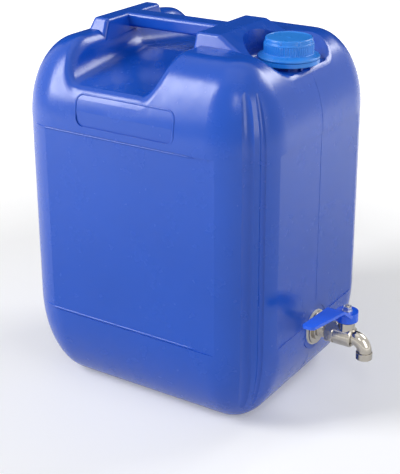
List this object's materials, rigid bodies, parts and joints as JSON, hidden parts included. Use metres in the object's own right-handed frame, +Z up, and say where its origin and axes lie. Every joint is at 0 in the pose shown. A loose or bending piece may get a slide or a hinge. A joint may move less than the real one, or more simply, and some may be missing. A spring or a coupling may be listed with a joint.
{
  "type": "canister with tap",
  "caption": "Blow-moulded stacking canister with moulded grip, screw cap with tamper ring, and a nickel-plated quarter-turn ball tap low on one end.",
  "frame": {"origin": "middle of the canister footprint, on the flat of the base", "axes": "+Z up, +X along the wide wall towards the tap, +Y towards the back wide wall"},
  "size_m": [0.3545, 0.255, 0.3855],
  "materials": {
    "canister": "satin blow-moulded polyethylene",
    "closure": "satin injection-moulded polyethylene",
    "liner": "soft foamed polyethylene",
    "nylon": "natural nylon",
    "nickel": "bright nickel plating on turned and cast brass",
    "rubber": "moulded rubber",
    "seat": "turned fluoropolymer",
    "polished_ball": "polished plating",
    "lever": "glossy powder coating",
    "steel": "zinc-plated steel"
  },
  "bodies": {
    "container": {"container": "canister", "tamper_ring": "closure", "tap_washer": "nylon", "tap_flange_nut": "nickel", "tap_gasket": "rubber", "tap_backnut": "nickel", "tap_inlet": "nickel", "tap_body": "nickel", "ball_seat_inlet": "seat", "ball_seat_outlet": "seat", "stem_packing": "rubber", "gland_nut": "nickel", "outlet_washer": "rubber", "outlet_collar": "nickel"},
    "liner": {"cap_liner": "liner"},
    "cap": {"cap_shell": "closure"},
    "lever": {"lever_handle": "lever", "lever_washer": "steel", "lever_nut": "steel", "tap_stem": "nickel", "tap_ball": "polished_ball"}
  },
  "joints": [
    {"name": "cap_lift", "type": "slide", "parent": "container", "child": "liner", "axis": [0, 0, 1], "range_m": [0, 0.0081]},
    {"name": "cap_turn", "type": "hinge", "parent": "liner", "child": "cap", "pos_m": [0.105, 0, 0.37], "axis": [0, 0, 1], "range_deg": [0, 720]},
    {"name": "tap_lever", "type": "hinge", "parent": "container", "child": "lever", "pos_m": [0.18, 0, 0.1], "axis": [0, 0, 1], "range_deg": [0, 90]}
  ],
  "couplings": [
    {"joint": "cap_lift", "follows": "cap_turn", "m_per_rad": 0.00063662}
  ]
}
